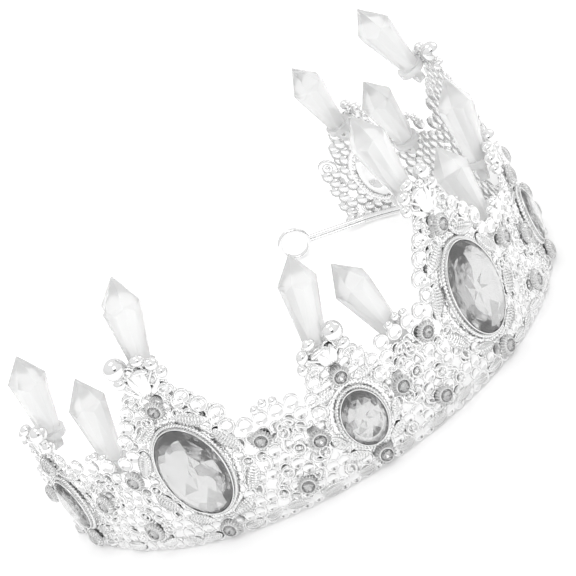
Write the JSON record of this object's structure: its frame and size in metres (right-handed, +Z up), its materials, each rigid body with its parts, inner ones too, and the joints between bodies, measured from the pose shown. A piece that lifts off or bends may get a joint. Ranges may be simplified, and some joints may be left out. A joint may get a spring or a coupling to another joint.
{
  "type": "crown",
  "caption": "Open-backed crown of pierced silver panels with oval faceted gems, small rhinestones and clear upright drops, on a head wire with an end loop at each side.",
  "frame": {"origin": "centre of the head circle, on the plane that the lower edge rests on", "axes": "+Z up towards the peaks, -Y to the front panel, +X to the wearer's left; the open back faces +Y"},
  "size_m": [0.1732, 0.1389, 0.0831],
  "materials": {
    "plated_stamping": "bright silver plating on a stamped, pierced sheet",
    "settings": "bright silver plating with milled edges",
    "polished_beads": "mirror polished",
    "head_wire": "bright plated wire",
    "oval_glass": "cut and polished, foil backed",
    "rhinestone_glass": "cut and polished, foil backed",
    "clear_acrylic": "moulded clear, polished facets"
  },
  "bodies": {
    "root": {"gem_panel_1": "plated_stamping", "gem_panel_2": "plated_stamping", "gem_panel_3": "plated_stamping", "gem_panel_4": "plated_stamping", "gem_panel_5": "plated_stamping", "gem_panel_6": "plated_stamping", "gem_panel_7": "plated_stamping", "scroll_link_1": "plated_stamping", "scroll_link_2": "plated_stamping", "scroll_link_3": "plated_stamping", "scroll_link_4": "plated_stamping", "scroll_link_5": "plated_stamping", "scroll_link_6": "plated_stamping", "end_scroll_left": "plated_stamping", "end_scroll_right": "plated_stamping", "gem_setting_1": "settings", "gem_setting_2": "settings", "gem_setting_3": "settings", "gem_setting_4": "settings", "gem_setting_5": "settings", "gem_setting_6": "settings", "gem_setting_7": "settings", "oval_gem_1": "oval_glass", "oval_gem_2": "oval_glass", "oval_gem_3": "oval_glass", "oval_gem_4": "oval_glass", "oval_gem_5": "oval_glass", "oval_gem_6": "oval_glass", "oval_gem_7": "oval_glass", "peak_drop_1": "clear_acrylic", "peak_drop_2": "clear_acrylic", "peak_drop_3": "clear_acrylic", "peak_drop_4": "clear_acrylic", "peak_drop_5": "clear_acrylic", "peak_drop_6": "clear_acrylic", "peak_drop_7": "clear_acrylic", "link_drop_1": "clear_acrylic", "link_drop_3": "clear_acrylic", "link_drop_4": "clear_acrylic", "link_drop_6": "clear_acrylic", "peak_beads_1": "polished_beads", "peak_beads_2": "polished_beads", "peak_beads_3": "polished_beads", "peak_beads_4": "polished_beads", "peak_beads_5": "polished_beads", "peak_beads_6": "polished_beads", "peak_beads_7": "polished_beads", "crest_beads": "polished_beads", "panel_rhinestone_cups": "settings", "link_rhinestone_cups": "settings", "panel_rhinestones": "rhinestone_glass", "link_rhinestones": "rhinestone_glass", "head_wire_lower": "head_wire", "head_wire_upper": "head_wire", "end_loop_left": "head_wire", "end_loop_right": "head_wire"}
  },
  "joints": []
}
